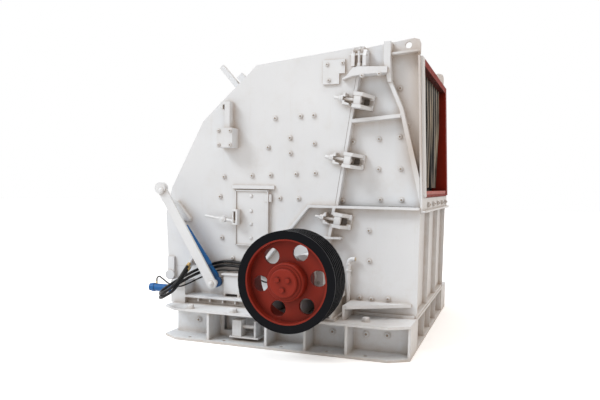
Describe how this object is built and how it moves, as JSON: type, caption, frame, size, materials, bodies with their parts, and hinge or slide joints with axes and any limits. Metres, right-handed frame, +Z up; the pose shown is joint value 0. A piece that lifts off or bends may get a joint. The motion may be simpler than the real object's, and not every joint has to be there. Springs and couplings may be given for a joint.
{
  "type": "horizontal shaft impact crusher",
  "caption": "Horizontal shaft impact crusher with a ribbed base, hinged housing held by swing bolts, a belt-driven rotor with blow bars, inspection doors and a feed mouth.",
  "frame": {"origin": "on the ground, below the middle of the whole object's box", "axes": "+X along the crusher towards the feed mouth, -Y towards the belt sheave, +Z up"},
  "size_m": [2.996, 3.54, 3.02],
  "materials": {
    "white_paint": "gloss white paint",
    "red_paint": "brick red paint",
    "black_paint": "gloss black paint",
    "bright_steel": "machined steel",
    "worn_steel": "cast wear steel",
    "blue_paint": "blue paint",
    "black_rubber": "black rubber"
  },
  "bodies": {
    "housing": {"base_beam_near": "white_paint", "lower_side_near": "white_paint", "bearing_pedestal_near": "white_paint", "bearing_housing_near": "white_paint", "front_side_near": "white_paint", "rear_side_near": "white_paint", "clamp_near_upper": "white_paint", "clamp_near_middle": "white_paint", "clamp_near_lower": "white_paint", "apron_shaft_box_near": "white_paint", "apron_shaft_cover_near": "white_paint", "clamp_near_top": "white_paint", "stay_arm_near": "white_paint", "lift_cylinder_near": "blue_paint", "base_beam_far": "white_paint", "lower_side_far": "white_paint", "bearing_pedestal_far": "white_paint", "bearing_housing_far": "white_paint", "front_side_far": "white_paint", "rear_side_far": "white_paint", "clamp_far_upper": "white_paint", "clamp_far_middle": "white_paint", "clamp_far_lower": "white_paint", "apron_shaft_box_far": "white_paint", "apron_shaft_cover_far": "white_paint", "clamp_far_top": "white_paint", "stay_arm_far": "white_paint", "lift_cylinder_far": "blue_paint", "base_end_front": "white_paint", "base_end_rear": "white_paint", "lower_front_wall": "white_paint", "lower_rear_wall": "white_paint", "front_roof": "white_paint", "mouth_flange": "white_paint", "rear_shell": "white_paint", "grease_pipe": "white_paint", "valve_block": "white_paint", "hose_manifold": "white_paint", "mouth_liner": "red_paint", "feed_curtain": "black_rubber", "feed_plate": "worn_steel", "apron_front": "worn_steel", "apron_rear": "worn_steel", "hand_cylinder": "blue_paint", "hose_upper": "black_rubber", "hose_lower": "black_rubber", "hose_thin": "black_rubber"},
    "rotor": {"rotor_shaft": "bright_steel", "rotor_body": "worn_steel", "blow_bar_1": "worn_steel", "blow_bar_2": "worn_steel", "blow_bar_3": "worn_steel", "blow_bar_4": "worn_steel", "pulley": "red_paint", "pulley_rim": "black_paint", "hub_cap": "red_paint"},
    "door_near": {"door_near": "white_paint", "latch_near": "white_paint"},
    "door_far": {"door_far": "white_paint", "latch_far": "white_paint"}
  },
  "joints": [
    {"name": "rotor_spin", "type": "hinge", "parent": "housing", "child": "rotor", "pos_m": [0.402, 0.22, 0.74], "axis": [0, 1, 0], "continuous": true},
    {"name": "door_near_swing", "type": "hinge", "parent": "housing", "child": "door_near", "pos_m": [-0.09, -0.87, 1.25], "axis": [0, 0, 1], "range_deg": [0, 100]},
    {"name": "door_far_swing", "type": "hinge", "parent": "housing", "child": "door_far", "pos_m": [-0.09, 1.31, 1.25], "axis": [0, 0, -1], "range_deg": [0, 100]}
  ]
}
